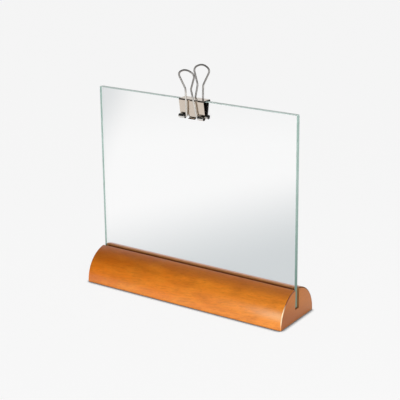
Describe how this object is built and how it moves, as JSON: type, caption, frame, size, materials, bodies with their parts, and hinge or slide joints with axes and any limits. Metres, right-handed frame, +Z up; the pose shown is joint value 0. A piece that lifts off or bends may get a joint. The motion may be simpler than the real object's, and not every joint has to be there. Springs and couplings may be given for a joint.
{
  "type": "photo holder",
  "caption": "Table-top photo holder: a glass pane standing in a slotted half-round wooden bar, with a foldback clip on its top edge to hold a photo against the glass.",
  "frame": {"origin": "middle of the wooden bar's flat underside, on the table", "axes": "+X along the bar, to the right as seen from the front; +Y from the front to the back, square to the glass; +Z up"},
  "size_m": [0.154, 0.0414, 0.1569],
  "materials": {
    "wood": "honey-brown stain under semi-gloss lacquer, fine grain along the bar",
    "glass": "clear float glass with polished faces and green seamed edges",
    "nickel": "bright nickel plate on spring steel"
  },
  "bodies": {
    "base": {"wood_base": "wood"},
    "pane": {"glass_pane": "glass"},
    "clip": {"clip_body": "nickel"},
    "front_handle": {"clip_handle_front": "nickel"},
    "rear_handle": {"clip_handle_rear": "nickel"}
  },
  "joints": [
    {"name": "pane_lift", "type": "slide", "parent": "base", "child": "pane", "axis": [0, 0, 1], "range_m": [0, 0.015]},
    {"name": "clip_lift", "type": "slide", "parent": "pane", "child": "clip", "axis": [0, 0, 1], "range_m": [0, 0.0125]},
    {"name": "front_handle_swing", "type": "hinge", "parent": "clip", "child": "front_handle", "pos_m": [0, -0.00335, 0.12445], "axis": [1, 0, 0], "range_deg": [-2.4, 170]},
    {"name": "rear_handle_swing", "type": "hinge", "parent": "clip", "child": "rear_handle", "pos_m": [0, 0.00335, 0.12445], "axis": [-1, 0, 0], "range_deg": [-2.4, 170]}
  ]
}
